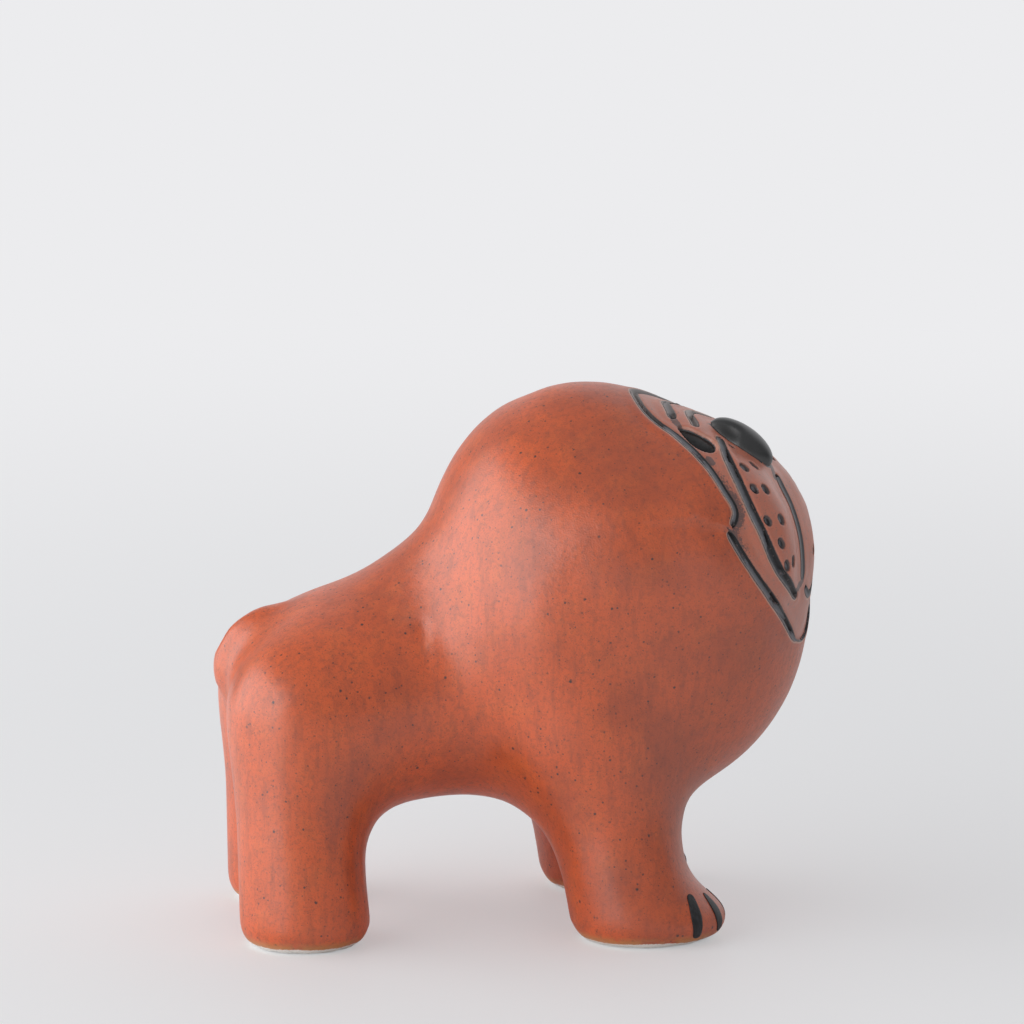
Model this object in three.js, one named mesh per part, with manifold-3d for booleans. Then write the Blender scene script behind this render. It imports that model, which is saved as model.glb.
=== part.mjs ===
// A stoneware bulldog ornament: a hollow slip-cast body with dark fills in its cut lines, pits and eyes.
// Millimetres. +X points ahead, +Y to the dog's left and +Z up, and the dog stands on z = 0.
import * as THREE from "three";
import { LoftGeometry } from "three/addons/geometries/LoftGeometry.js";
import { mergeVertices } from "three/addons/utils/BufferGeometryUtils.js";
import Module from "manifold-3d";

const wasm = await Module();
wasm.setup();

// Stance: where the feet stand on the floor.
const STANCE_LENGTH = 65; // hind feet to fore feet
const HIND_TRACK = 41; // left hind foot to right hind foot
const FORE_TRACK = 47; // left fore foot to right fore foot
const LEG_SPLAY = 3; // a leg stands this much wider at its foot than at its top

// Legs: round columns that swell into a foot. A leg's top leans ahead of its foot by lean.
const HIND_LEG = { lean: -2.5, top: 45, topDiameter: 22.5, footDiameter: 26 };
const FORE_LEG = { lean: -7, top: 36, topDiameter: 22.5, footDiameter: 25.5 };
const FOOT_CENTRE = 4; // height of the round end of a leg
const SOLE_ROUND = 4; // rounding of a foot where it meets the floor
const SOLE_GRIND = 0.2; // ground off the soles so that they stand flat

// Masses of the body, as ellipsoids. Each centre lies ahead of its pair of feet and up from the floor.
const RUMP = { ahead: 16, up: 46.5, length: 52.5, width: 52, height: 45.5 };
const LOIN = { ahead: 36, up: 52.5, length: 56, width: 50, height: 54.5 };
const TAIL = { ahead: -3, up: 52, length: 28, width: 14, height: 25.5 };
const SKULL = { ahead: -13.5, up: 64, length: 54, width: 70, height: 84 };
const CHEST = { ahead: 2.5, up: 63, length: 72, width: 68, height: 79 };
const PAW = { ahead: 5.5, up: 3.5, length: 26, width: 24, height: 14 };

// Face: turned to the dog's right about the skull's upright axis.
// Its places are ahead of that axis, to the side of the face's middle, and up from the floor.
const HEAD_TURN = 25; // degrees
const FACE_LEAN = 24; // degrees that the muzzle leans back
const BROW_DIP = 27; // degrees that the forehead falls towards the nose
const SNOUT_DIP = 25; // degrees that the snout under the nose points down
const NOSE_DIP = 33; // degrees that the nose points down
const RUFF = { ahead: 18, side: 0, up: 76, length: 54, width: 60, height: 52 };
const CHEEKS = { ahead: 36.5, side: 0, up: 79.5, length: 23.5, width: 46, height: 44 };
const BROW = { ahead: 18.5, side: 0, up: 92, length: 49.5, width: 34, height: 27 };
const CHIN = { ahead: 36, side: 0, up: 63.5, length: 18, width: 32, height: 18 };
const FLEW = { ahead: 39.5, side: 7, up: 80.5, length: 23.5, width: 20, height: 34 };
const SNOUT = { ahead: 40, side: 0, up: 92.5, length: 12, width: 9, height: 6.8 };
const NOSE = { ahead: 39, side: 0, up: 97.2, length: 15, width: 8, height: 7 };
const NOSTRIL = { along: -2.8, side: 2.9, rise: 1.5, length: 5.4, width: 2.6, height: 2.4 };

// Fillets between the masses.
const BODY_BLEND = 5.5;
const LEG_BLEND = 17;
const PAW_BLEND = 6;
const TAIL_BLEND = 3;
const CHEEK_BLEND = 6;
const BROW_BLEND = 4;
const FLEW_BLEND = 2.5;

// Casting.
const WALL = 5;
const VENT_DIAMETER = 6; // lets the steam out of the hollow body in the kiln

// Eyes: almond pits from an outer to an inner corner, fullest towards the inner one.
const EYE_OUTER = [28.5, 8, 101.5];
const EYE_INNER = [36.5, 10.5, 97];
const EYE_HEIGHT = 4;
const EYE_DEPTH = 2;
const EYE_FULLEST = 0.7; // pulls the fullest place from the middle towards the inner corner

// Cut lines and their dark fills. A line over the face starts at its middle and is mirrored.
const FIT = 0.3; // clearance of every fill in its seat
const LINE_WIDTH = 1.8;
const LINE_DEPTH = 1.3;
const FLOOR_SHARE = 0.65; // width of a line's floor against its mouth
const FILL_SINK = 0.3; // the fills lie this far below the glaze
const CUT_CLEAR = 1.5; // height of a cutter above the surface
const HOOD_LINE = [[17, 0, 107.5], [18, 2.5, 106.5], [21, 7, 104.5], [24.5, 9.5, 102.5],
  [28.5, 11, 100.5], [31.5, 12.5, 98.5], [35, 14, 95.5], [38, 15.5, 93], [40.5, 16.5, 89.5],
  [42.5, 16.5, 86.5], [43, 17, 85], [42.5, 18.5, 83.5]];
const BROW_STOP = [-1.5, -1.7, 1.1]; // from an eye's outer corner to the end of the brow line
const BROW_LINE = [[23.5, 0, 105.5], [24.5, 2, 104.5], [26, 4.5, 103.5],
  EYE_OUTER.map((value, axis) => value + BROW_STOP[axis])];
const BRIDGE_LINE = [[28.5, 0, 103.5], [29, 2, 103], [30.5, 4, 102], [31.5, 6, 101]];
const FLEW_LINE = [[36, 5, 99], [38, 9, 97], [40.5, 12, 94], [42.5, 13.5, 91], [45, 14.5, 86.5],
  [47.5, 14.5, 81.5], [49.5, 13, 76]];
// The flew lines end at the tip of the lips. The left flew hangs lower, away from the turn of the head.
const FLEW_ENDS = {
  left: [[50.5, 12, 72], [50.8, 9, 67.5], [51, 6, 66.5], [51.2, 3.2, 68.8]],
  right: [[50.5, 11.5, 73.5], [51.5, 8.5, 71], [51, 1.5, 67.5]],
};
const PHILTRUM_LINE = [[45.5, 1, 91], [48, 1, 84.5], [49.5, 1, 80], [50.5, 1, 76], [51, 1, 70.5]];
// The jowl line runs from cheek to cheek and hangs lowest on the left too.
const JOWL_LINE = [[42, -19.5, 82.5], [44, -18.5, 78.5], [46.5, -16, 73.5], [49, -11.5, 68],
  [49.5, -6.5, 64.5], [49.5, -1.5, 61], [49.5, 3.5, 58], [48, 9.5, 57.5], [46, 14, 61], [45.2, 17, 68],
  [44.4, 18.6, 75], [43, 19.3, 79.5], [42, 19.5, 82.5]];

// Whisker pits of one side, pressed long down the lip. The first, beside the nose, is smaller.
const PIT_LENGTH = 2.4;
const PIT_WIDTH = 1.6;
const PIT_DEPTH = 1.2;
const FIRST_PIT_SHARE = 0.6;
const PITS = [[38.5, 5.5, 97], [42.5, 10, 94], [43.5, 6.5, 94], [45, 12, 90], [47, 10, 90], [48, 13, 84],
  [50, 10, 84], [50.5, 11.5, 79.5], [51.5, 10.5, 75], [52, 8, 75.5]];

// Toe strokes of a fore paw, which turns out. They run down its front.
const PAW_TURN = 34; // degrees
const TOE_SPREAD = 32; // degrees from stroke to stroke
const TOE_COUNT = 3;
const TOE_WIDTH = 3.5;
const TOE_TIP_WIDTH = 1;
const TOE_TOP = 10;
const TOE_TOP_REACH = 0.72; // share of the paw's reach from its middle to the top of a stroke
const TOE_FOOT = 1.5;

// Fineness of the mesh.
const SKIN_STEP = 4.4;
const CAVITY_STEP = 7;
const LINE_STEP = 2.5;
const LEAST_LINE_STEPS = 5;
const PIT_SIDES = 8;
const VENT_SIDES = 16;
const EYE_SIDES = 8;
const NOSE_SIDES = [18, 10];
const NOSTRIL_SIDES = [10, 6];
const GRID_ROOM = 12; // clear space round the masses for the grid that finds the skin
const MENDING_PASSES = 4;
const EVENING_PASSES = 3;
const SETTLE_STEPS = 10;
const SHORTEST_EDGE = 0.001; // corners nearer than this become one
const NUDGE = 0.02; // how far apart a slope is measured

// Places worked out from the sizes above.
const HIND_X = -STANCE_LENGTH / 2;
const FORE_X = STANCE_LENGTH / 2;
const SKULL_X = FORE_X + SKULL.ahead;
const TURN = THREE.MathUtils.degToRad(HEAD_TURN);
const LEAN = THREE.MathUtils.degToRad(FACE_LEAN);
const FALL = THREE.MathUtils.degToRad(-BROW_DIP);
const SNOUT_FALL = THREE.MathUtils.degToRad(-SNOUT_DIP);
const DIP = THREE.MathUtils.degToRad(NOSE_DIP);

// Approximate distance from a point to an ellipsoid, both measured from its centre along its own axes.
function ellipsoid(along, across, up, mass) {
  const a = (2 * along) / mass.length;
  const b = (2 * across) / mass.width;
  const c = (2 * up) / mass.height;
  const reach = Math.hypot(a, b, c);
  const slope = Math.hypot((2 * a) / mass.length, (2 * b) / mass.width, (2 * c) / mass.height);
  return slope > 0 ? (reach * (reach - 1)) / slope : -Math.min(mass.length, mass.width, mass.height) / 2;
}

// The same for an ellipsoid whose long axis tips by an angle in the upright plane of the face.
function tipped(along, across, up, mass, angle) {
  const cos = Math.cos(angle);
  const sin = Math.sin(angle);
  return ellipsoid(along * cos + up * sin, across, up * cos - along * sin, mass);
}

// Distance to a leg: a column with round ends, from its top to its foot.
function column(x, y, z, footX, footY, leg) {
  const foot = [footX, footY, FOOT_CENTRE];
  const rise = [leg.lean, -Math.sign(footY) * LEG_SPLAY, leg.top - FOOT_CENTRE];
  const offset = [x - foot[0], y - foot[1], z - foot[2]];
  const along = offset[0] * rise[0] + offset[1] * rise[1] + offset[2] * rise[2];
  const share = THREE.MathUtils.clamp(along / (rise[0] ** 2 + rise[1] ** 2 + rise[2] ** 2), 0, 1);
  const gap = Math.hypot(...offset.map((value, axis) => value - share * rise[axis]));
  return gap - THREE.MathUtils.lerp(leg.footDiameter, leg.topDiameter, share) / 2;
}

// Two distances joined with a fillet.
function blend(a, b, fillet) {
  const share = Math.max(fillet - Math.abs(a - b), 0) / fillet;
  return Math.min(a, b) - (share * share * fillet) / 4;
}

// The whole body as one distance, negative inside.
function body(x, y, z) {
  const rump = ellipsoid(x - HIND_X - RUMP.ahead, y, z - RUMP.up, RUMP);
  const loin = ellipsoid(x - HIND_X - LOIN.ahead, y, z - LOIN.up, LOIN);
  const skull = ellipsoid(x - SKULL_X, y, z - SKULL.up, SKULL);
  const chest = ellipsoid(x - FORE_X - CHEST.ahead, y, z - CHEST.up, CHEST);
  let shape = blend(blend(rump, loin, BODY_BLEND), blend(skull, chest, BODY_BLEND), BODY_BLEND);

  const hind = [-1, 1].map((side) => column(x, y, z, HIND_X, (side * HIND_TRACK) / 2, HIND_LEG));
  const fore = [-1, 1].map((side) => {
    const footY = (side * FORE_TRACK) / 2;
    const paw = ellipsoid(x - FORE_X - PAW.ahead, y - footY, z - PAW.up, PAW);
    return blend(column(x, y, z, FORE_X, footY, FORE_LEG), paw, PAW_BLEND);
  });
  shape = blend(shape, blend(...hind, BODY_BLEND), LEG_BLEND);
  shape = blend(shape, blend(...fore, BODY_BLEND), LEG_BLEND);
  shape = blend(shape, ellipsoid(x - HIND_X - TAIL.ahead, y, z - TAIL.up, TAIL), TAIL_BLEND);

  const ahead = (x - SKULL_X) * Math.cos(TURN) - y * Math.sin(TURN);
  const side = (x - SKULL_X) * Math.sin(TURN) + y * Math.cos(TURN);
  shape = blend(shape, ellipsoid(ahead - RUFF.ahead, side, z - RUFF.up, RUFF), CHEEK_BLEND);
  shape = blend(shape, tipped(ahead - CHEEKS.ahead, side, z - CHEEKS.up, CHEEKS, LEAN), CHEEK_BLEND);
  shape = blend(shape, tipped(ahead - BROW.ahead, side, z - BROW.up, BROW, FALL), BROW_BLEND);
  shape = blend(shape, ellipsoid(ahead - CHIN.ahead, side, z - CHIN.up, CHIN), BROW_BLEND);
  const flews = [-1, 1].map((hand) =>
    tipped(ahead - FLEW.ahead, side - hand * FLEW.side, z - FLEW.up, FLEW, LEAN));
  shape = blend(shape, blend(...flews, FLEW_BLEND), FLEW_BLEND);
  shape = blend(shape, tipped(ahead - SNOUT.ahead, side, z - SNOUT.up, SNOUT, SNOUT_FALL), FLEW_BLEND);
  return -blend(-shape, z + SOLE_GRIND, SOLE_ROUND);
}

// How a distance changes from place to place: on the surface it points straight out.
function slopeOf(field, point) {
  const { x, y, z } = point;
  const slope = new THREE.Vector3(
    field(x + NUDGE, y, z) - field(x - NUDGE, y, z),
    field(x, y + NUDGE, z) - field(x, y - NUDGE, z),
    field(x, y, z + NUDGE) - field(x, y, z - NUDGE),
  );
  return slope.divideScalar(2 * NUDGE);
}

// Draws a point straight onto the surface.
function settle(field, point) {
  for (let i = 0; i < SETTLE_STEPS; i++) {
    const slope = slopeOf(field, point);
    point.addScaledVector(slope, -field(point.x, point.y, point.z) / slope.lengthSq());
  }
  return point;
}

// A closed skin where a distance is zero. Each cell of a grid that the surface crosses gets one point,
// and each grid edge that crosses the surface gets a four-sided face between the cells around it.
function skin(field, box, step) {
  const counts = box.getSize(new THREE.Vector3()).toArray().map((length) => Math.ceil(length / step) + 1);
  const strides = [1, counts[0], counts[0] * counts[1]];
  const total = strides[2] * counts[2];
  const corner = (n) =>
    new THREE.Vector3(n % counts[0], Math.floor(n / strides[1]) % counts[1], Math.floor(n / strides[2]))
      .multiplyScalar(step).add(box.min);
  const values = Float32Array.from({ length: total }, (_, n) => field(...corner(n).toArray()));
  const inside = (n) => values[n] < 0;
  const crosses = (n, axis) => inside(n) !== inside(n + strides[axis]);
  const beside = (axis) => [strides[(axis + 1) % 3], strides[(axis + 2) % 3]];

  // A saddle that lies flat against the grid can cross all four sides of a grid square, and the skin would
  // touch itself along an edge there. The square's corner nearest the surface then changes sides.
  for (let pass = 0; pass < MENDING_PASSES; pass++) {
    for (let n = 0; n < total; n++) {
      for (let axis = 0; axis < 3; axis++) {
        const [u, v] = beside(axis);
        const square = [n, n + u, n + u + v, n + v];
        if (square.some((point, i) => inside(point) === inside(square[(i + 1) % 4]))) continue;
        const nearest = square.reduce((a, b) => (Math.abs(values[b]) < Math.abs(values[a]) ? b : a));
        values[nearest] = -values[nearest];
      }
    }
  }

  const points = [];
  const numbers = new Map();
  const pointOf = (cell) => {
    if (numbers.has(cell)) return numbers.get(cell);
    const crossings = [];
    for (let axis = 0; axis < 3; axis++) {
      const [u, v] = beside(axis);
      for (const n of [cell, cell + u, cell + v, cell + u + v]) {
        if (!crosses(n, axis)) continue;
        const next = n + strides[axis];
        crossings.push(corner(n).lerp(corner(next), values[n] / (values[n] - values[next])));
      }
    }
    const middle = new THREE.Vector3();
    crossings.forEach((crossing) => middle.addScaledVector(crossing, 1 / crossings.length));
    numbers.set(cell, points.length);
    points.push(middle);
    return numbers.get(cell);
  };

  const faces = [];
  for (let n = 0; n < total - strides[2]; n++) {
    for (let axis = 0; axis < 3; axis++) {
      if (!crosses(n, axis)) continue;
      const [u, v] = beside(axis);
      const ring = [n - u - v, n - v, n, n - u].map(pointOf);
      faces.push(inside(n) ? ring : ring.reverse());
    }
  }

  for (let pass = 0; pass < EVENING_PASSES; pass++) {
    const sums = points.map(() => new THREE.Vector3());
    const shares = points.map(() => 0);
    for (const face of faces) {
      face.forEach((number, i) => {
        sums[number].add(points[face[(i + 1) % 4]]);
        shares[number] += 1;
      });
    }
    points.forEach((point, i) => settle(field, point.lerp(sums[i].divideScalar(shares[i]), 0.5)));
  }

  const triangles = faces.flatMap(([a, b, c, d]) =>
    points[a].distanceTo(points[c]) < points[b].distanceTo(points[d])
      ? [a, b, c, a, c, d]
      : [a, b, d, b, c, d]);
  return new THREE.BufferGeometry().setFromPoints(points).setIndex(triangles);
}

// A closed geometry as a solid that can be cut, and a cut solid as a geometry.
function solid(geometry) {
  const bare = new THREE.BufferGeometry().setAttribute("position", geometry.getAttribute("position"));
  const merged = mergeVertices(bare.setIndex(geometry.getIndex()));
  return new wasm.Manifold(new wasm.Mesh({
    numProp: 3,
    vertProperties: merged.getAttribute("position").array,
    triVerts: new Uint32Array(merged.getIndex().array),
  }));
}

function geometryOf(shape) {
  const mesh = shape.getMesh();
  const cut = new THREE.BufferGeometry()
    .setAttribute("position", new THREE.BufferAttribute(mesh.vertProperties, 3))
    .setIndex(new THREE.BufferAttribute(mesh.triVerts, 1));
  const merged = mergeVertices(cut, SHORTEST_EDGE);
  const corners = Array.from(merged.getIndex().array);
  const faces = corners.map((a, i) => [a, corners[i + 1], corners[i + 2]]).filter((_, i) => i % 3 === 0);
  return merged.setIndex(faces.filter(([a, b, c]) => a !== b && b !== c && c !== a).flat());
}

// A place on the face, on the dog's left (hand 1) or right (hand -1).
function onFace([ahead, side, up], hand = 1) {
  const place = new THREE.Vector3(ahead, hand * side, up).applyAxisAngle(new THREE.Vector3(0, 0, 1), -TURN);
  return place.add(new THREE.Vector3(SKULL_X, 0, 0));
}

// A line over the face, from its end on the right to its end on the left.
function acrossFace(places) {
  const left = places.map((place) => onFace(place));
  const right = places.slice(1).reverse().map((place) => onFace(place, -1));
  return [...right, ...left];
}

// A line cut along the surface and the fill that lies in it. widthAt gives its width along its length.
function cutLine(places, widthAt = () => LINE_WIDTH) {
  const curve = new THREE.CatmullRomCurve3(places, false, "centripetal");
  const count = Math.max(LEAST_LINE_STEPS, Math.round(curve.getLength() / LINE_STEP));
  const path = curve.getSpacedPoints(count).map((point) => settle(body, point));
  const frames = path.map((point, i) => {
    const heading = path[Math.min(i + 1, count)].clone().sub(path[Math.max(i - 1, 0)]).normalize();
    const out = slopeOf(body, point).normalize();
    const across = new THREE.Vector3().crossVectors(out, heading).normalize();
    return { point, heading, out, across, width: widthAt(i / count) };
  });
  const section = (frame, profile, slide = 0) =>
    profile.map(([side, up]) => frame.point.clone().addScaledVector(frame.heading, slide)
      .addScaledVector(frame.across, side).addScaledVector(frame.out, up));
  const halfWidth = (frame, depth) => (frame.width / 2) * (1 - (1 - FLOOR_SHARE) * (depth / LINE_DEPTH));

  const mouth = (frame) => {
    const [top, floor] = [halfWidth(frame, 0), halfWidth(frame, LINE_DEPTH)];
    const right = [[floor, -LINE_DEPTH], [top, 0], [top, CUT_CLEAR]];
    return [...right, ...right.map(([side, up]) => [-side, up]).reverse()];
  };
  const bead = (frame) => {
    const floorDepth = LINE_DEPTH - FIT;
    const [top, floor] = [halfWidth(frame, FILL_SINK) - FIT, halfWidth(frame, floorDepth) - FIT];
    return [[-floor, -floorDepth], [floor, -floorDepth], [top, -FILL_SINK], [-top, -FILL_SINK]];
  };
  const caps = { capStart: true, capEnd: true };
  const cutter = frames.map((frame) => section(frame, mouth(frame)));
  cutter.unshift(section(frames[0], mouth(frames[0]), -FIT));
  cutter.push(section(frames[count], mouth(frames[count]), FIT));
  return {
    cutter: solid(new LoftGeometry(cutter, caps)),
    fill: new LoftGeometry(frames.map((frame) => section(frame, bead(frame))), caps),
  };
}

// An oval pit pressed straight into the surface, long down and ahead, and the fill in it.
function pit(place, share) {
  const point = settle(body, place);
  const out = slopeOf(body, point).normalize();
  const downAhead = new THREE.Vector3(1, 0, -1).applyAxisAngle(new THREE.Vector3(0, 0, 1), -TURN);
  const aside = new THREE.Vector3().crossVectors(downAhead, out).normalize();
  const along = new THREE.Vector3().crossVectors(out, aside);
  const plug = (shrink, low, high) =>
    new THREE.CylinderGeometry(0.5, 0.5, high - low, PIT_SIDES)
      .scale(PIT_LENGTH * share - 2 * shrink, 1, PIT_WIDTH * share - 2 * shrink)
      .translate(0, (low + high) / 2, 0)
      .applyMatrix4(new THREE.Matrix4().makeBasis(along, out, aside).setPosition(point));
  return {
    cutter: solid(plug(0, -PIT_DEPTH, CUT_CLEAR)),
    fill: plug(FIT, FIT - PIT_DEPTH, -FILL_SINK),
  };
}

// An almond eye pit and the fill in it.
function eye(hand) {
  const outer = onFace(EYE_OUTER, hand);
  const inner = onFace(EYE_INNER, hand);
  const middle = settle(body, outer.clone().lerp(inner, 0.5));
  const out = slopeOf(body, middle).normalize();
  const across = new THREE.Vector3().crossVectors(out, inner.clone().sub(outer)).normalize();
  const along = new THREE.Vector3().crossVectors(across, out);
  const length = outer.distanceTo(inner);
  const almond = (grow, low, high) => {
    const [reach, bulge] = [length / 2 + 2 * grow, EYE_HEIGHT + 2 * grow];
    const fullest = EYE_FULLEST * reach;
    const outline = new THREE.Shape().moveTo(-reach, 0);
    outline.quadraticCurveTo(fullest, -bulge, reach, 0).quadraticCurveTo(fullest, bulge, -reach, 0);
    const cut = { depth: high - low, bevelEnabled: false, curveSegments: EYE_SIDES };
    return new THREE.ExtrudeGeometry(outline, cut).translate(0, 0, low).applyMatrix4(
      new THREE.Matrix4().makeBasis(along, across, out).setPosition(middle));
  };
  return {
    cutter: solid(almond(FIT, -EYE_DEPTH, CUT_CLEAR)),
    fill: almond(0, FIT - EYE_DEPTH, -FILL_SINK),
  };
}

// The nose: a pad pressed into a seat above the flews, with two nostrils.
function noseShape(grow) {
  const pad = new THREE.SphereGeometry(1, ...NOSE_SIDES).rotateX(Math.PI / 2);
  pad.scale(NOSE.length / 2 + grow, NOSE.width / 2 + grow, NOSE.height / 2 + grow);
  return pad;
}

function placeNose(geometry) {
  return geometry.rotateY(DIP).translate(NOSE.ahead, NOSE.side, NOSE.up)
    .rotateZ(-TURN).translate(SKULL_X, 0, 0);
}

function nose() {
  const nostrils = [-1, 1].map((hand) =>
    solid(placeNose(new THREE.SphereGeometry(1, ...NOSTRIL_SIDES)
      .scale(NOSTRIL.length / 2, NOSTRIL.width / 2, NOSTRIL.height / 2)
      .translate(NOSTRIL.along, hand * NOSTRIL.side, NOSTRIL.rise))));
  const pad = nostrils.reduce((shape, nostril) => shape.subtract(nostril), solid(placeNose(noseShape(0))));
  return { cutter: solid(placeNose(noseShape(FIT))), fill: geometryOf(pad) };
}

// A toe stroke down the front of a fore paw, with blunt ends.
function toeStroke(hand, number) {
  const angle = THREE.MathUtils.degToRad(PAW_TURN + TOE_SPREAD * ((TOE_COUNT - 1) / 2 - number));
  const place = (height, reach) => new THREE.Vector3(
    FORE_X + PAW.ahead + reach * (PAW.length / 2) * Math.cos(angle),
    hand * (FORE_TRACK / 2 + reach * (PAW.width / 2) * Math.sin(angle)),
    height,
  );
  const places = [place(TOE_TOP, TOE_TOP_REACH), place((TOE_TOP + TOE_FOOT) / 2, 1), place(TOE_FOOT, 1)];
  const swell = (share) => Math.sqrt(Math.sin(Math.PI * share));
  return cutLine(places, (share) => THREE.MathUtils.lerp(TOE_TIP_WIDTH, TOE_WIDTH, swell(share)));
}

function finish(name, color, roughness) {
  return new THREE.MeshStandardMaterial({ name, color, roughness });
}
const GLAZE = finish("iron_red_glaze", 0xa9532f, 0.5);
const PIGMENT = finish("blue_black_pigment", 0x2b3037, 0.7);
const BLACK = finish("black_glaze", 0x0d0d0f, 0.35);

// Every fill with its seat, by name.
const inlays = [
  ["nose_pad", BLACK, nose()],
  ["hood_line", PIGMENT, cutLine(acrossFace(HOOD_LINE))],
  ["brow_line", PIGMENT, cutLine(acrossFace(BROW_LINE))],
  ["bridge_line", PIGMENT, cutLine(acrossFace(BRIDGE_LINE))],
  ["philtrum_line", PIGMENT, cutLine(PHILTRUM_LINE.map((place) => onFace(place)))],
  ["jowl_line", PIGMENT, cutLine(JOWL_LINE.map((place) => onFace(place)))],
];
for (const [name, hand] of [["left", 1], ["right", -1]]) {
  inlays.push([`eye_${name}`, BLACK, eye(hand)]);
  const flew = [...FLEW_LINE, ...FLEW_ENDS[name]].map((place) => onFace(place, hand));
  inlays.push([`flew_line_${name}`, PIGMENT, cutLine(flew)]);
  PITS.forEach((place, i) => {
    const share = i === 0 ? FIRST_PIT_SHARE : 1;
    inlays.push([`whisker_${name}_${i + 1}`, PIGMENT, pit(onFace(place, hand), share)]);
  });
  for (let i = 0; i < TOE_COUNT; i++) inlays.push([`toe_${name}_${i + 1}`, PIGMENT, toeStroke(hand, i)]);
}

// The casting: the body's skin ground flat at the soles, hollowed, vented and cut for every fill.
const halfRoom = Math.max(SKULL.width, CHEST.width) / 2 + GRID_ROOM;
const backEnd = HIND_X + TAIL.ahead - TAIL.length / 2 - GRID_ROOM;
const frontEnd = SKULL_X + FLEW.ahead + FLEW.length / 2 + GRID_ROOM;
const topEnd = SKULL.up + SKULL.height / 2 + GRID_ROOM;
const reach = new THREE.Box3(
  new THREE.Vector3(backEnd, -halfRoom, -GRID_ROOM),
  new THREE.Vector3(frontEnd, halfRoom, topEnd),
);
const room = reach.getSize(new THREE.Vector3());
const aboveFloor = new THREE.BoxGeometry(room.x, room.y, room.z)
  .translate((reach.min.x + reach.max.x) / 2, 0, room.z / 2);
const vent = new THREE.CylinderGeometry(VENT_DIAMETER / 2, VENT_DIAMETER / 2, LOIN.up, VENT_SIDES)
  .rotateX(Math.PI / 2).translate(HIND_X + LOIN.ahead, 0, LOIN.up / 2);
const hollow = skin((x, y, z) => body(x, y, z) + WALL, reach, CAVITY_STEP);
let casting = solid(skin(body, reach, SKIN_STEP)).intersect(solid(aboveFloor));
casting = casting.subtract(solid(hollow)).subtract(solid(vent));
for (const [, , { cutter }] of inlays) casting = casting.subtract(cutter);

const dog = new THREE.Group();
function add(name, geometry, material) {
  const mesh = new THREE.Mesh(geometry, material);
  mesh.name = name;
  dog.add(mesh);
}
add("stoneware_casting", geometryOf(casting), GLAZE);
for (const [name, material, { fill }] of inlays) add(name, fill, material);

// The origin is on the floor, below the middle of the dog.
const middle = new THREE.Box3().setFromObject(dog).getCenter(new THREE.Vector3());
dog.position.set(-middle.x, -middle.y, 0);

export default dog;
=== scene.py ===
import math

import bmesh
import bpy
from mathutils import Matrix, Vector
from mathutils.bvhtree import BVHTree
from mathutils.geometry import intersect_point_line
from mathutils.kdtree import KDTree


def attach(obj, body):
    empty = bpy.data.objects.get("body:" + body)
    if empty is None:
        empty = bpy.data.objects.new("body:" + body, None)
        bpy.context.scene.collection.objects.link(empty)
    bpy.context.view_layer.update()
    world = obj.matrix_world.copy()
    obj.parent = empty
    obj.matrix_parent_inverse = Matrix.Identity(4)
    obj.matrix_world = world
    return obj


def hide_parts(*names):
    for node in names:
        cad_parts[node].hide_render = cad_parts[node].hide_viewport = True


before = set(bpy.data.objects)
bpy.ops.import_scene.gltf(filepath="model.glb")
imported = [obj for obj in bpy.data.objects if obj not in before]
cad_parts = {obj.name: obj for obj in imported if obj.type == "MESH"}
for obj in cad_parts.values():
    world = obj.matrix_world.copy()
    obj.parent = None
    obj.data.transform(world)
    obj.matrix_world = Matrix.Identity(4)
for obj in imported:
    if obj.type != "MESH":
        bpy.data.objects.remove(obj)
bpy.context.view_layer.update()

# Glazed body
# The dog's whole body, head, legs and tail: one hollow stoneware casting, sponged smooth before it is fired.
# Face lines, whisker pits and eye seats are cut into leather-hard clay, and a vent is drilled in the belly.
# An iron-red satin glaze covers everything except the soles, which are wiped bare to stand in the kiln.

MM = 0.001
LINES = ["hood_line", "brow_line", "bridge_line", "philtrum_line", "jowl_line", "flew_line_left",
         "flew_line_right"]
RIM_LINES = ["hood_line", "jowl_line"]
SIDES = ["left", "right"]
PITS = [f"whisker_{side}_{number}" for side in SIDES for number in range(1, 11)]
EYES = [f"eye_{side}" for side in SIDES]
TOES = [f"toe_{side}_{number}" for side in SIDES for number in range(1, 4)]
JOIN_REACH = 0.001 * MM
SPONGE_PULL = 0.5


def merged(*names):
    """A bmesh of CAD nodes, with the loose corners of their triangles joined."""
    shape = bmesh.new()
    for name in names:
        shape.from_mesh(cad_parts[name].data)
    bmesh.ops.remove_doubles(shape, verts=shape.verts, dist=JOIN_REACH)
    shape.normal_update()
    return shape


def swell(shape, distance):
    """Moves every corner of a bmesh out along its normal."""
    for corner in shape.verts:
        corner.co += corner.normal * distance
    shape.normal_update()


def relax(shape, corners, rounds):
    """Draws each corner towards its neighbours, as a wet sponge does."""
    for _ in range(rounds):
        bmesh.ops.smooth_vert(shape, verts=corners, factor=SPONGE_PULL,
                              use_axis_x=True, use_axis_y=True, use_axis_z=True)


def smooth_shaded(shape):
    for face in shape.faces:
        face.smooth = True
    return shape


def laid_out(name, shape):
    """A linked object from a bmesh, which is used up."""
    mesh = bpy.data.meshes.new(name)
    shape.to_mesh(mesh)
    shape.free()
    made = bpy.data.objects.new(name, mesh)
    bpy.context.scene.collection.objects.link(made)
    return made


def finished_shape(made):
    """A bmesh of an object with its modifiers carried out. The object itself goes."""
    bpy.context.view_layer.update()
    graph = bpy.context.evaluated_depsgraph_get()
    mesh = bpy.data.meshes.new_from_object(made.evaluated_get(graph))
    shape = bmesh.new()
    shape.from_mesh(mesh)
    bpy.data.objects.remove(made)
    bpy.data.meshes.remove(mesh)
    return shape


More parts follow.
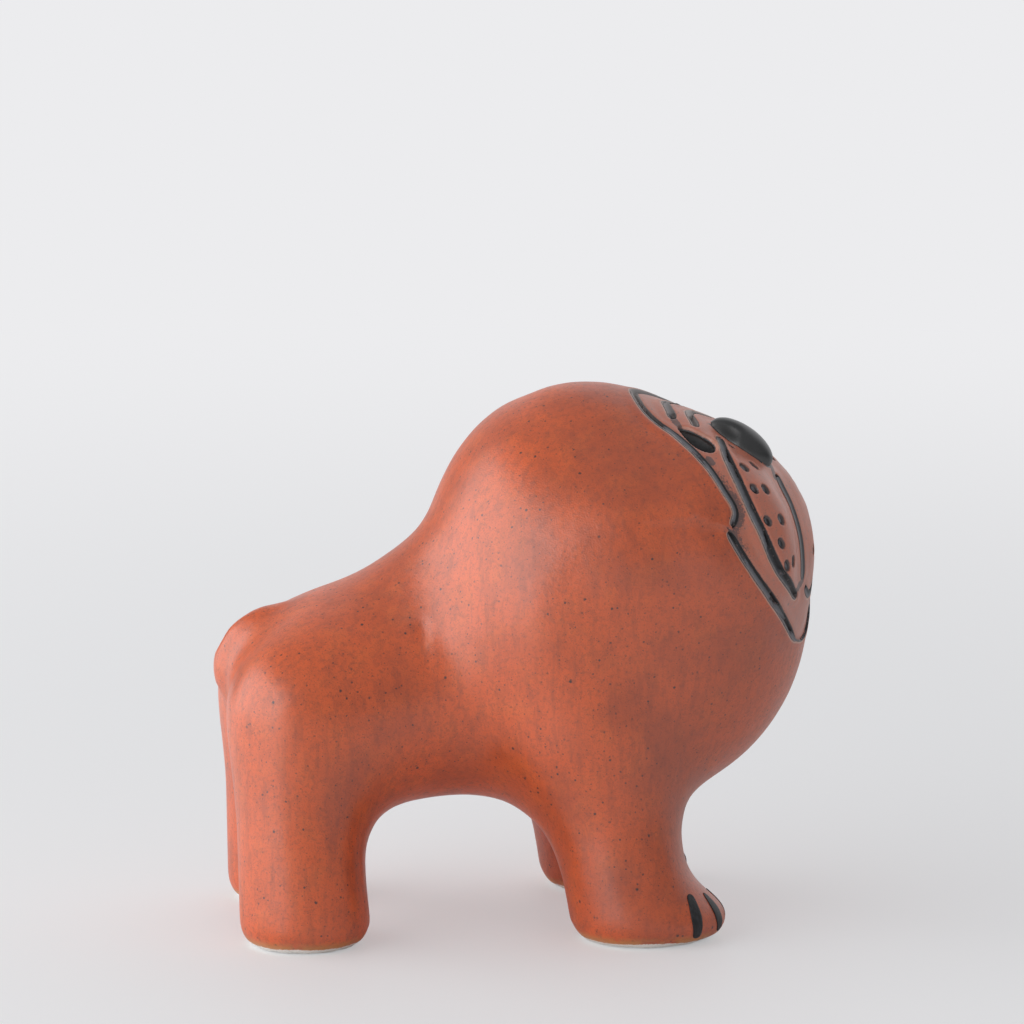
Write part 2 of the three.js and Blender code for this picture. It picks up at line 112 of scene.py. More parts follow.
def wrapped(name, shape, step):
    """A bmesh of one even skin around another, which is used up."""
    block = laid_out(name, shape)
    wrap = block.modifiers.new("wrap", "REMESH")
    wrap.mode = "VOXEL"
    wrap.voxel_size = step
    return finished_shape(block)


def ease(low, high, value):
    """0 below low, 1 above high, and a smooth rise between."""
    share = min(max((value - low) / (high - low), 0.0), 1.0)
    return share * share * (3 - 2 * share)


def reached_from(start, partner=None):
    """Every corner that edges lead to from a first one, without crossing to a corner's partner."""
    found = {start}
    search = [start]
    while search:
        corner = search.pop()
        for edge in corner.link_edges:
            other = edge.other_vert(corner)
            if other not in found and not (partner and partner[corner] is other):
                found.add(other)
                search.append(other)
    return found


# The clay before it is cut: the casting with its seats and vent filled again, wrapped in one even skin.
SEAT_FILL = 0.6 * MM
NOSE_UNDER = -0.7 * MM
VENT_PLACE = Vector((-7.2, 0.2, 27)) * MM
VENT_RADIUS = 3 * MM
VENT_DEPTH = 16 * MM
VENT_SIDES = 32
PLUG_RADIUS = 3.6 * MM
PLUG_DEPTH = 4 * MM
PLUG_SIDES = 24
SKIN_STEP = 0.9 * MM
SPONGING = 10
SOLE_ROOM = 0.4 * MM
clay = merged("stoneware_casting")
for names, growth in ((LINES + PITS + EYES + TOES, SEAT_FILL), (["nose_pad"], NOSE_UNDER)):
    filler = merged(*names)
    swell(filler, growth)
    mesh = bpy.data.meshes.new("filler")
    filler.to_mesh(mesh)
    filler.free()
    clay.from_mesh(mesh)
    bpy.data.meshes.remove(mesh)
vent_place = Matrix.Translation(VENT_PLACE)
bmesh.ops.create_cone(clay, cap_ends=True, segments=PLUG_SIDES, radius1=PLUG_RADIUS, radius2=PLUG_RADIUS,
                      depth=PLUG_DEPTH, matrix=vent_place)
skin = wrapped("clay_block", clay, SKIN_STEP)
outside = reached_from(max(skin.verts, key=lambda corner: corner.co.z))
bmesh.ops.delete(skin, geom=[corner for corner in skin.verts if corner not in outside], context="VERTS")
relax(skin, [corner for corner in skin.verts if corner.co.z > SOLE_ROOM], SPONGING)
for corner in skin.verts:
    corner.co.z = max(corner.co.z, 0.0)

# The root of the tail, where wet clay is stroked into the valley beside it: hollows rise and ridges stay.
TAIL_FRONT = -36 * MM
TAIL_FLOOR = 52 * MM
STROKES_OVER = 4
STROKING = 30
tail_root = [corner for corner in skin.verts if corner.co.x < TAIL_FRONT and corner.co.z > TAIL_FLOOR]
for _ in range(STROKES_OVER):
    skin.normal_update()
    before = [(corner, corner.co.copy(), corner.normal.copy()) for corner in tail_root]
    relax(skin, tail_root, STROKING)
    for corner, start, out in before:
        corner.co = start + out * max((corner.co - start).dot(out), 0.0)

# The vent, drilled up through the belly.
drill_shape = bmesh.new()
bmesh.ops.create_cone(drill_shape, cap_ends=True, segments=VENT_SIDES, radius1=VENT_RADIUS,
                      radius2=VENT_RADIUS, depth=VENT_DEPTH, matrix=vent_place)
drill = laid_out("vent_drill", drill_shape)
body = laid_out("drilled_body", skin)
bore = body.modifiers.new("vent", "BOOLEAN")
bore.operation = "DIFFERENCE"
bore.object = drill
skin = finished_shape(body)
bpy.data.objects.remove(drill)

# A finer mesh where tools and brushes touch the clay.
FINE_REACH = 2.8 * MM
FINE_CUTS = 2
FINE_SPONGING = 2
marks = BVHTree.FromBMesh(merged(*LINES, *PITS, *EYES))
fine = {}
for corner in skin.verts:
    if marks.find_nearest(corner.co, FINE_REACH)[0] is not None:
        fine.update((edge, True) for face in corner.link_faces for edge in face.edges)
split = bmesh.ops.subdivide_edges(skin, edges=list(fine), cuts=FINE_CUTS, use_grid_fill=True)
relax(skin, [item for item in split["geom_inner"] if isinstance(item, bmesh.types.BMVert)], FINE_SPONGING)
skin.normal_update()
smooth_skin = BVHTree.FromBMesh(skin)

# Places on the face are ahead of the head's axis, to its left, and up from the floor, in millimetres.
HEAD_AXIS = Vector((8.27, 0.16, 0)) * MM
HEAD_TURN = math.radians(-25)


def on_face(ahead, side, up):
    place = Matrix.Rotation(HEAD_TURN, 4, "Z") @ Vector((ahead, side, up))
    return place * MM + HEAD_AXIS


def both_sides(path):
    """A path given on the left of the face: its mirror image on the right, then the path itself."""
    return [[on_face(ahead, hand * side, up) for ahead, side, up in path] for hand in (-1, 1)]


MUZZLE = on_face(50, 0, 80)
LEFT_LIP = on_face(50, 40, 80)
TO_LEFT = (on_face(0, 1, 0) - HEAD_AXIS) / MM

# Each mark's sheet: the visible side of its CAD fill, spread up the walls of its cut and rounded off.
# Its attribute "across" runs from 0 on the muzzle's side of the mark to 1 on the outer side.
SKY_FACING = 0.6
LINE_SPREAD = 0.25 * MM
LIP_SPREAD = 0.9 * MM
CHIN_LEFT = 3 * MM
CHIN_TOP = 72 * MM
CHIN_THIN = 0.5 * MM
PAIR_ANGLE = math.radians(60)
ROUNDING = 3
EYE_FLATNESS = math.radians(4)
EYE_RINGS = 3
EYE_RING_WIDTH = 0.4 * MM
EYE_ROUNDING = 2
# Each paw's strokes, from its outer side: how far both edges spread, and the least width, all in mm.
PAW_SIDES = {"left": Vector((0.04, 1, 0)), "right": Vector((0.04, -1, 0))}
STROKES = [(0.0, 0.0, 1.8), (0.0, 0.0, 0.9), (0.4, -2.0, 0.0)]


def visible_side(name):
    shape = merged(name)
    hidden = []
    for face in shape.faces:
        _, out, _, _ = smooth_skin.find_nearest(face.calc_center_median())
        if face.normal.dot(out) < SKY_FACING:
            hidden.append(face)
    bmesh.ops.delete(shape, geom=hidden, context="FACES")
    return shape


def rounded(name, shape, levels):
    sheet = laid_out(name + "_sheet", shape)
    round_off = sheet.modifiers.new("round_off", "SUBSURF")
    round_off.levels = round_off.render_levels = levels
    return finished_shape(sheet)


def strip_sheet(name, near_side, outer_spread, inner_spread, least_width=0.0):
    """The sheet of a line or a stroke, a strip of four-sided faces. The jowl line thins left of the chin."""
    shape = visible_side(name)
    across = shape.verts.layers.float.new("across")
    bmesh.ops.join_triangles(shape, faces=shape.faces, angle_face_threshold=PAIR_ANGLE,
                             angle_shape_threshold=PAIR_ANGLE)
    partner = {}
    for face in shape.faces:
        shared = [edge for edge in face.edges if not edge.is_boundary]
        if len(shared) == 1:
            shared += [edge for edge in face.edges if not set(edge.verts) & set(shared[0].verts)]
        for edge in shared:
            first, second = edge.verts
            partner[first] = second
            partner[second] = first
    one_side = reached_from(next(iter(partner)), partner)
    outward = sum((corner.co - partner[corner].co).dot(corner.co - near_side) for corner in one_side)
    moves = []
    for corner in shape.verts:
        corner[across] = 1.0 if (corner in one_side) == (outward > 0) else 0.0
        spread = outer_spread if corner[across] else inner_spread
        to_left = (corner.co - HEAD_AXIS).dot(TO_LEFT)
        if name == "jowl_line" and to_left > CHIN_LEFT and corner.co.z < CHIN_TOP:
            spread = -CHIN_THIN
        breadth = corner.co - partner[corner].co
        spread = max(spread, (least_width - breadth.length) / 2)
        moves.append((corner, breadth.normalized() * spread))
    for corner, move in moves:
        corner.co += move
    return rounded(name, shape, ROUNDING)


def pit_sheet(name):
    shape = visible_side(name)
    middle = sum((corner.co for corner in shape.verts), Vector()) / len(shape.verts)
    # The muzzle's side of each pit takes the slip's painted shade, and the far side its painted sheen.
    away = (middle - MUZZLE).normalized()
    across = shape.verts.layers.float.new("across")
    for corner in shape.verts:
        corner[across] = (1 + (corner.co - middle).normalized().dot(away)) / 2
    return rounded(name, shape, ROUNDING)


def eye_sheet(name):
    shape = visible_side(name)
    bmesh.ops.dissolve_limit(shape, angle_limit=EYE_FLATNESS, verts=shape.verts, edges=shape.edges)
    for _ in range(EYE_RINGS):
        bmesh.ops.inset_region(shape, faces=[max(shape.faces, key=lambda face: face.calc_area())],
                               thickness=EYE_RING_WIDTH)
    bmesh.ops.triangulate(shape, faces=[max(shape.faces, key=lambda face: len(face.verts))])
    return rounded(name, shape, EYE_ROUNDING)


sheets = {}
for name in LINES:
    if name == "philtrum_line":
        sheets[name] = strip_sheet(name, LEFT_LIP, LINE_SPREAD, LIP_SPREAD)
    else:
        sheets[name] = strip_sheet(name, MUZZLE, LINE_SPREAD, LINE_SPREAD)
for name in PITS:
    sheets[name] = pit_sheet(name)
for name in EYES:
    sheets[name] = eye_sheet(name)
for side in SIDES:
    for number, (far_spread, near_spread, least) in enumerate(STROKES, 1):
        name = f"toe_{side}_{number}"
        sheets[name] = strip_sheet(name, PAW_SIDES[side], far_spread * MM, near_spread * MM, least * MM)

# Cutting: grooves that fall gently from their outer rim and rise steeply to the face, pits and eye seats.
# The face is set back a little from the rim of hood and jowl, and a soft crease runs back from each notch.
# Distances are in mm from the edge of a mark's sheet, and depths are in mm below the smooth skin.
FAR = 9.0
NEXT_TO = 0.05
FILL_TOP = 0.3 * MM
HALF_WIDTH = 0.78
GROOVE_DEPTH = 0.75
GROOVE_DEEPEST = -0.25
OUTER_EDGE = 1.0
INNER_EDGE = -0.85
PIT_DEPTH = 0.55
PIT_WALL = 0.45
EYE_DEPTH = 0.9
EYE_WALL = 0.6
EYE_DOME = 0.3
EYE_DOME_RUN = 1.6
FACE_START = -0.5
FACE_END = 0.3
FACE_SETBACK = 0.5
SETBACK_RUN = 6.0
ROLL = 0.15
ROLL_RISE = 0.6
ROLL_RUN = 2.6
CREASE = [(43.1, 17.6, 84.4), (39.6, 21.1, 84.6), (35.3, 23.4, 84.9), (30.7, 24.8, 85.3), (26.2, 26.5, 85.5)]
CREASE_DEPTH = 0.35
CREASE_SPREAD = 2.0
FACE_REAR = 12 * MM
FACE_FLOOR = 50 * MM
# A smudge of pigment lies inside the rim of the hood and jowl, fullest beside the notch in each cheek.
NOTCH = (42.5, 17, 85.5)
SMUDGE_CORE = 0.2
SMUDGE_REACH = 2.8
NOTCH_NEAR = 3.6
NOTCH_FAR = 12.6
NOTCH_LOSS = 0.7
# Thinned pigment dabbed along short paths. On each side it joins the brow line to the eye and lies under the
# eye's inner corner. In the middle it leads from the nose to the line below it and closes the lips' tip.
SIDE_DABS = [[(27.2, 6.6, 102.4), (28.0, 7.3, 101.6), (28.9, 8.0, 100.8)],
             [(36.2, 13.0, 95.8), (36.9, 13.4, 95.2)]]
MIDDLE_DABS = [[(44.5, 1.8, 93.1), (45.3, 0.6, 92.3), (45.9, -0.3, 90.8)],
               [(50.8, -2.6, 68.9), (51.1, -1.7, 69.2), (51.3, 0.1, 69.8), (51.0, 1.8, 70.7)]]
DAB_CORE = 0.4
DAB_REACH = 1.0
DAB_FULLNESS = 1.7
# A shallow dent in the right flank, which fades out downwards: places on the body in mm.
FLANK_DENT = [(-20, -20.8, 62.6), (-20, -22.4, 58.5), (-19.4, -24, 54), (-18.4, -25.4, 50)]
FLANK_DEPTH = 0.4
FLANK_SPREAD = 1.5
FLANK_REACH = 16 * MM


class Marks:
    """The sheets of like marks, for measuring how far a place on the skin lies from them."""

    def __init__(self, names):
        whole = bmesh.new()
        mesh = bpy.data.meshes.new("marks")
        for name in names:
            sheets[name].to_mesh(mesh)
            whole.from_mesh(mesh)
        bpy.data.meshes.remove(mesh)
        whole.verts.ensure_lookup_table()
        layer = whole.verts.layers.float.get("across")
        self.across = [corner[layer] if layer else 0.5 for corner in whole.verts]
        self.corners = KDTree(len(whole.verts))
        self.edge = KDTree(len(whole.verts))
        for number, corner in enumerate(whole.verts):
            self.corners.insert(corner.co, number)
            if corner.is_boundary:
                self.edge.insert(corner.co, number)
        self.corners.balance()
        self.edge.balance()
        self.surface = BVHTree.FromBMesh(whole)

    def gap(self, point):
        """Sideways distance in mm to the nearest mark."""
        found, _, _, distance = self.surface.find_nearest(point, FAR * MM)
        if found is None:
            return FAR
        return math.sqrt(max(distance * distance - FILL_TOP * FILL_TOP, 0.0)) / MM

    def side(self, point):
        """Place across the nearest mark, from -1 at its inner edge to 1 at its outer edge."""
        _, number, _ = self.corners.find(point)
        return 2 * self.across[number] - 1

    def place_across(self, point, gap):
        """Distance in mm from the middle of the nearest mark, above 0 on its outer side."""
        side = self.side(point)
        if gap < NEXT_TO:
            return side * HALF_WIDTH
        return math.copysign(HALF_WIDTH + gap, side)


lines = Marks(LINES)
rims = Marks(RIM_LINES)
pits = Marks(PITS)
eyes = Marks(EYES)
nose_places = BVHTree.FromBMesh(merged("nose_pad"))
notches = [path[0] for path in both_sides([NOTCH])]
notch_creases = both_sides(CREASE)
flank_path = [Vector(place) * MM for place in FLANK_DENT]
dab_paths = [[on_face(*place) for place in dab] for dab in MIDDLE_DABS]
for dab in SIDE_DABS:
    dab_paths += both_sides(dab)


def groove_depth(across):
    if across > GROOVE_DEEPEST:
        return GROOVE_DEPTH * (1 - ease(GROOVE_DEEPEST, OUTER_EDGE, across))
    return GROOVE_DEPTH * ease(INNER_EDGE, GROOVE_DEEPEST, across)


def roll(gap):
    """The clay that a tool pushes up beside its cut."""
    return ROLL * ease(0, ROLL_RISE, gap) * (1 - ease(ROLL_RISE, ROLL_RUN, gap))


def stretches(point, path):
    """For each straight stretch of a path, the share of it before its nearest place, and the mm to there."""
    for start, end in zip(path, path[1:]):
        _, share = intersect_point_line(point, start, end)
        share = min(max(share, 0.0), 1.0)
        yield share, (point - start.lerp(end, share)).length / MM


def dent_depth(point, path, depth, spread):
    """A soft valley along a path, deepest at its start and gone at its end."""
    deepest = 0.0
    for number, (share, away) in enumerate(stretches(point, path)):
        fade = 1 - (number + share) / (len(path) - 1)
        deepest = max(deepest, depth * fade * math.exp(-((away / spread) ** 2)))
    return deepest


def away_from(point, path):
    """Distance in mm from a place to a path."""
    return min(away for _, away in stretches(point, path))


def dab_share(point):
    nearest = min(away_from(point, dab) for dab in dab_paths)
    return DAB_FULLNESS * (1 - ease(DAB_CORE, DAB_REACH, nearest))


def cut(point):
    """How far the tools sink a place on the skin, in mm, and what the glaze needs to know of that place."""
    traces = {"line_gap": lines.gap(point), "line_side": 0.0, "pit_gap": pits.gap(point),
              "eye_gap": eyes.gap(point), "smudged": dab_share(point), "face": (1 - rims.side(point)) / 2}
    sink = max(PIT_DEPTH * (1 - ease(0, PIT_WALL, traces["pit_gap"])),
               EYE_DEPTH * (1 - ease(0, EYE_WALL, traces["eye_gap"])))
    if traces["eye_gap"] < NEXT_TO:
        _, _, inside = eyes.edge.find(point)
        sink -= EYE_DOME * ease(0, EYE_DOME_RUN, inside / MM)
    if traces["line_gap"] < FAR:
        traces["line_side"] = lines.side(point)
        sink = max(sink, groove_depth(lines.place_across(point, traces["line_gap"])))
    sink -= roll(traces["line_gap"])
    rim_gap = rims.gap(point)
    if rim_gap < FAR:
        face_side = 1 - ease(FACE_START, FACE_END, rims.place_across(point, rim_gap))
        sink += FACE_SETBACK * face_side * (1 - ease(0, SETBACK_RUN, rim_gap))
        to_notch = min((point - notch).length for notch in notches) / MM
        smudge = face_side * (1 - ease(SMUDGE_CORE, SMUDGE_REACH, rim_gap))
        smudge *= 1 - NOTCH_LOSS * ease(NOTCH_NEAR, NOTCH_FAR, to_notch)
        traces["smudged"] = max(traces["smudged"], smudge)
    sink += max(dent_depth(point, path, CREASE_DEPTH, CREASE_SPREAD) for path in notch_creases)
    return sink, traces


UNCUT = {"line_gap": FAR, "line_side": 0.0, "pit_gap": FAR, "eye_gap": FAR, "smudged": 0.0, "face": 0.0}
layers = {trace: skin.verts.layers.float.new(trace) for trace in UNCUT}
nose_gap = skin.verts.layers.float.new("nose_gap")
moves = []
for corner in skin.verts:
    on_head = corner.co.x > FACE_REAR and corner.co.z > FACE_FLOOR
    sink, traces = cut(corner.co) if on_head else (0.0, UNCUT)
    if (corner.co - flank_path[0]).length < FLANK_REACH:
        sink += dent_depth(corner.co, flank_path, FLANK_DEPTH, FLANK_SPREAD)
    for trace, layer in layers.items():
        corner[layer] = traces[trace]
    _, _, _, to_nose = nose_places.find_nearest(corner.co)
    corner[nose_gap] = to_nose / MM
    moves.append((corner, corner.normal * (-sink * MM)))
for corner, move in moves:
    corner.co += move
body = laid_out("glazed_body", smooth_shaded(skin))
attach(body, "root")
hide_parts("stoneware_casting")


class Value:
    """A shader socket that takes part in sums: an expression on it adds Math nodes."""

    def __init__(self, finish, socket):
        self.finish = finish
        self.socket = socket

    def sum(self, operation, left, right=0.0):
        return self.finish.add("ShaderNodeMath", {"operation": operation}, {0: left, 1: right})

    def __add__(self, other):
        return self.sum("ADD", self, other)

    __radd__ = __add__

    def __mul__(self, other):
        return self.sum("MULTIPLY", self, other)

    __rmul__ = __mul__

    def __sub__(self, other):
        return self.sum("SUBTRACT", self, other)

    def __rsub__(self, other):
        return self.sum("SUBTRACT", other, self)

    def __pow__(self, other):
        return self.sum("POWER", self, other)

    def sway(self, width):
        """A noise, which runs from 0 to 1, made to stray by up to half of width to either side of 0."""
        return (self - 0.5) * width

    def step(self, low, high):
        """0 where this is below low, 1 above high, smooth between. Either may be a value too."""
        sockets = {"Value": self, "From Min": low, "From Max": high}
        return self.finish.add("ShaderNodeMapRange", {"interpolation_type": "SMOOTHSTEP"}, sockets)


class Finish:
    """The shader nodes of a material or a world, and the method that adds them."""

    def __init__(self, owner):
        self.owner = owner
        owner.use_nodes = True
        self.tree = owner.node_tree
        self.tree.nodes.clear()

    def add(self, kind, settings, sockets, output=0):
        node = self.tree.nodes.new(kind)
        for key, setting in settings.items():
            setattr(node, key, setting)
        for key, value in sockets.items():
            if isinstance(value, Value):
                self.tree.links.new(value.socket, node.inputs[key])
            else:
                node.inputs[key].default_value = value
        if node.outputs:
            return Value(self, node.outputs[output])
        return node

    def place(self):
        return self.add("ShaderNodeTexCoord", {}, {}, "Object")

    def along(self, place, axis):
        """One coordinate of a place, in mm."""
        return self.add("ShaderNodeSeparateXYZ", {}, {"Vector": place}, axis) * (1 / MM)

    def noise(self, place, size, detail, roughness, output=0):
        """Clouds with features about size millimetres across."""
        sockets = {"Vector": place, "Scale": 1 / (size * MM), "Detail": detail, "Roughness": roughness}
        return self.add("ShaderNodeTexNoise", {}, sockets, output)

    def blend(self, share, first, second):
        return self.add("ShaderNodeMix", {"data_type": "RGBA"}, {0: share, 6: first, 7: second}, 2)

    def attribute(self, name):
        return self.add("ShaderNodeAttribute", {"attribute_name": name}, {}, "Fac")

    def close(self, kind, shader):
        self.add(kind, {}, {"Surface": shader})
        return self.owner


def paint(red, green, blue):
    """A colour given as it looks on a screen."""
    def linear(value):
        share = value / 255
        return share / 12.92 if share <= 0.04045 else ((share + 0.055) / 1.055) ** 2.4
    return (linear(red), linear(green), linear(blue), 1.0)


SPECK_CORE = 0.4


def specks(finish, place, cell, largest, rarity):
    """Round spots, one in each cell of about cell millimetres, up to largest millimetres in radius."""
    sockets = {"Vector": place, "Scale": 1 / (cell * MM)}
    reach = finish.add("ShaderNodeTexVoronoi", {}, sockets, "Distance")
    draw = finish.add("ShaderNodeTexVoronoi", {}, sockets, "Color")
    chance = finish.add("ShaderNodeSeparateColor", {}, {"Color": draw}, "Red")
    radius = (chance ** rarity) * (largest / cell)
    return 1 - reach.step(radius * SPECK_CORE, radius)


IRON_RED = paint(228, 94, 24)
ORANGE = paint(234, 110, 32)
RUST_BROWN = paint(144, 59, 27)
AMBER = paint(206, 132, 58)
THIN_GLAZE_HIGHLIGHT = paint(222, 182, 160)
BARE_CLAY = paint(253, 250, 244)
DARK_SPECK = paint(48, 25, 20)
PALE_PIT = paint(236, 190, 160)
WASH_AND_SHEEN = paint(214, 160, 144)
DEEP = paint(40, 38, 40)
SLATE_SHEEN = paint(96, 96, 102)
SMUDGE = paint(66, 62, 64)
PALE_SHEEN = paint(172, 162, 158)
BLACK = paint(24, 23, 25)
# Noises of the glaze: the size of their features in mm, their detail and their roughness.
BROAD = (18, 3.0, 0.5)
CLOUD = (5, 4.0, 0.6)
PATCH = (3, 3.0, 0.6)
STREAK = (1.6, 3.0, 0.6)
FEATHER = (1.2, 4.0, 0.7)
MOTTLE = (0.9, 3.0, 0.65)
RIPPLE = (0.6, 2.0, 0.5)
GRAIN = (0.35, 2.0, 0.5)
DRAWN_DOWN = (1.0, 1.0, 0.2)

glaze = Finish(bpy.data.materials.new("iron_red_glaze"))
place = glaze.place()
height = glaze.along(place, "Z")
broad = glaze.noise(place, *BROAD)
cloud = glaze.noise(place, *CLOUD)
patch = glaze.noise(place, *PATCH)
streak = glaze.noise(glaze.add("ShaderNodeMapping", {}, {"Vector": place, "Scale": DRAWN_DOWN}), *STREAK)
feather = glaze.noise(place, *FEATHER)
mottle = glaze.noise(place, *MOTTLE)
grain = glaze.noise(place, *GRAIN)

# What breaks up the red: a noise, where it sets in, where it is full, its greatest share and its colour.
# The last one browns and darkens the glaze from the dog's middle forwards, on the side turned from the
# window: partly the glaze's own brown, partly painted shade.
CHEST_DRIFT = 30
ahead = glaze.along(place, "X") + broad.sway(CHEST_DRIFT)
coats = [(broad, 0.4, 0.66, 0.35, RUST_BROWN),
         (cloud, 0.45, 0.75, 0.35, ORANGE),
         (streak, 0.45, 0.7, 0.3, RUST_BROWN),
         (mottle, 0.48, 0.72, 0.4, RUST_BROWN),
         (grain, 0.5, 0.75, 0.35, RUST_BROWN),
         (patch, 0.45, 0.7, 0.2, RUST_BROWN),
         (ahead, 0, 34, 0.28, RUST_BROWN)]
colour = IRON_RED
for texture, start, full, share, tint in coats:
    colour = glaze.blend(texture.step(start, full) * share, colour, tint)

# Iron specks in three sizes, strewn unevenly and in crowds, and a few pale pits.
# Each kind: mm between spots, their largest radius in mm, how rare large ones are, their share and colour.
STRAY = (0.3 * MM,) * 3
CROWD_EDGE = (0.4, 0.65)
LEAST_CROWD = 0.4
DUST_SHARE = 0.7
ripple = glaze.noise(place, *RIPPLE, "Color")
strewn = glaze.add("ShaderNodeVectorMath", {"operation": "MULTIPLY_ADD"}, {0: ripple, 1: STRAY, 2: place})
crowd = LEAST_CROWD + patch.step(*CROWD_EDGE) * (1 - LEAST_CROWD)
spots = [(strewn, 2.6, 0.45, 1.8, 0.95, DARK_SPECK),
         (strewn, 1.1, 0.32, 1.2, crowd, DARK_SPECK),
         (strewn, 0.55, 0.17, 1.0, crowd * DUST_SHARE, DARK_SPECK),
         (place, 26, 0.45, 3.0, 0.8, PALE_PIT)]
for spots_place, cell, largest, rarity, share, tint in spots:
    colour = glaze.blend(specks(glaze, spots_place, cell, largest, rarity) * share, colour, tint)

# Pigment on the face: a thin wash with painted sheen, ink in and beside the cuts with painted shade and
# painted sheen, and thin glaze with a painted highlight on their outer rims.
# Each edge is a pair of distances from a mark, or of heights, in mm, between which a colour comes or goes.
WASH_AND_SHEEN_SHARE = 0.24
WASH_MOTTLE = 0.2
LINE_RAGGED = 0.3
PIT_RAGGED = 0.5
EYE_RAGGED = 0.2
CUT_EDGE = (0.14, 0.3)
PIT_EDGE = (0.2, 0.5)
NOSE_EDGE = (0.2, 0.45)
OUTER_SIDE = (-0.2, 0.6)
RIM_START = (0.08, 0.2)
RIM_END = (0.3, 0.6)
RIM_SHARE = 0.6
LID_START = (0.2, 0.35)
LID_END = (0.45, 0.7)
LID_SHARE = 0.3
SMUDGE_FEATHER = 1.4
SMUDGE_GRAIN = 1.2
SMUDGE_EDGE = (0.5, 0.9)
SMUDGE_SHARE = 0.85
# Heights in mm over which the ink pales towards grey, as a painted reflection of the sky.
SHEEN_HEIGHT = (100, 108)
SHEEN_SHARE = 0.7
INK_SHARE = 0.92
line_edge = glaze.attribute("line_gap") + feather.sway(LINE_RAGGED)
pit_edge = glaze.attribute("pit_gap") + feather.sway(PIT_RAGGED)
eye_edge = glaze.attribute("eye_gap") + feather.sway(EYE_RAGGED)
smudged = glaze.attribute("smudged") + feather.sway(SMUDGE_FEATHER) + grain.sway(SMUDGE_GRAIN)
outer_side = glaze.attribute("line_side").step(*OUTER_SIDE)
# Pale thin glaze on the outer rim of each cut and round each eye: partly the glaze breaking thin at the edge,
# partly a painted highlight.
thin_rim_highlight = outer_side * line_edge.step(*RIM_START) * (1 - line_edge.step(*RIM_END))
thin_lid_highlight = eye_edge.step(*LID_START) * (1 - eye_edge.step(*LID_END))
in_groove = 1 - line_edge.step(*CUT_EDGE)
in_pit = 1 - pit_edge.step(*PIT_EDGE)
in_eye = 1 - eye_edge.step(*CUT_EDGE)
on_nose = 1 - glaze.attribute("nose_gap").step(*NOSE_EDGE)
smudge = smudged.step(*SMUDGE_EDGE)
# The ink is darker on the inner side of each cut, as painted shade, and paler on its outer side, as painted
# sheen.
ink = glaze.blend(outer_side, DEEP, SLATE_SHEEN)
# Ink high on the head pales towards grey: a painted reflection of the sky.
ink = glaze.blend(height.step(*SHEEN_HEIGHT) * SHEEN_SHARE, ink, PALE_SHEEN)
ink = glaze.blend(smudge, ink, SMUDGE)
ink_share = 1 - (1 - in_groove) * (1 - in_pit) * (1 - in_eye) * (1 - smudge * SMUDGE_SHARE)
# The pale pink wash over the face is partly a thin haze of pigment, partly painted sheen.
colour = glaze.blend(glaze.attribute("face") * (WASH_AND_SHEEN_SHARE + mottle * WASH_MOTTLE), colour, WASH_AND_SHEEN)
colour = glaze.blend(thin_rim_highlight * RIM_SHARE, colour, THIN_GLAZE_HIGHLIGHT)
colour = glaze.blend(thin_lid_highlight * LID_SHARE, colour, THIN_GLAZE_HIGHLIGHT)
colour = glaze.blend(ink_share * INK_SHARE, colour, ink)
colour = glaze.blend(in_eye, colour, BLACK)
colour = glaze.blend(on_nose, colour, BLACK)

# The soles: bare clay up to a ragged edge, where the glaze runs thin and amber. Heights are in mm.
CLOUD_RAGGED = 0.8
FEATHER_RAGGED = 0.7
BARE_EDGE = (1.05, 1.25)
AMBER_EDGE = (1.2, 3.2)
AMBER_CLOUDS = (0.3, 0.5)
AMBER_SHARE = 0.9
ragged = height + cloud.sway(CLOUD_RAGGED) + feather.sway(FEATHER_RAGGED)
bare = 1 - ragged.step(*BARE_EDGE)
amber_share = (1 - ragged.step(*AMBER_EDGE)) * AMBER_SHARE * cloud.step(*AMBER_CLOUDS)
colour = glaze.blend(amber_share, colour, AMBER)
colour = glaze.blend(bare, colour, BARE_CLAY)

# The satin surface, with faint dents.
SATIN = 0.36
SATIN_SWAY = 0.12
CLAY_DULLNESS = 0.45
INK_DULLNESS = 0.1
GLAZE_IOR = 1.94
MOTTLE_RELIEF = 0.8
STREAK_RELIEF = 0.6
CLOUD_RELIEF = 2.5
DENT_STRENGTH = 0.5
DENT_DEPTH = 0.07 * MM
gloss = SATIN + cloud.sway(SATIN_SWAY) + mottle.sway(SATIN_SWAY)
gloss = gloss + bare * CLAY_DULLNESS + ink_share * INK_DULLNESS
uneven = grain + mottle * MOTTLE_RELIEF + streak * STREAK_RELIEF + cloud * CLOUD_RELIEF
dents = glaze.add("ShaderNodeBump", {}, {"Strength": DENT_STRENGTH, "Distance": DENT_DEPTH, "Height": uneven})
shader = glaze.add("ShaderNodeBsdfPrincipled", {}, {"Base Color": colour, "Roughness": gloss, "Normal": dents,
                                                    "IOR": GLAZE_IOR})
body.data.materials.append(glaze.close("ShaderNodeOutputMaterial", shader))

# Face pigment
# Blue-black iron and cobalt slip, brushed into the cut lines and the whisker pits and wiped back.
# It lies as a thin film, darkest in the deepest part of each cut and on the muzzle's side of each pit, as
# painted shade, and wiped thin and paler towards its outer rim, as painted sheen. High on the head it pales
# further, as a painted reflection of the sky.

FILM = 0.1 * MM
FILM_LIFT = 0.13 * MM
EVEN_REACH = 0.7 * MM
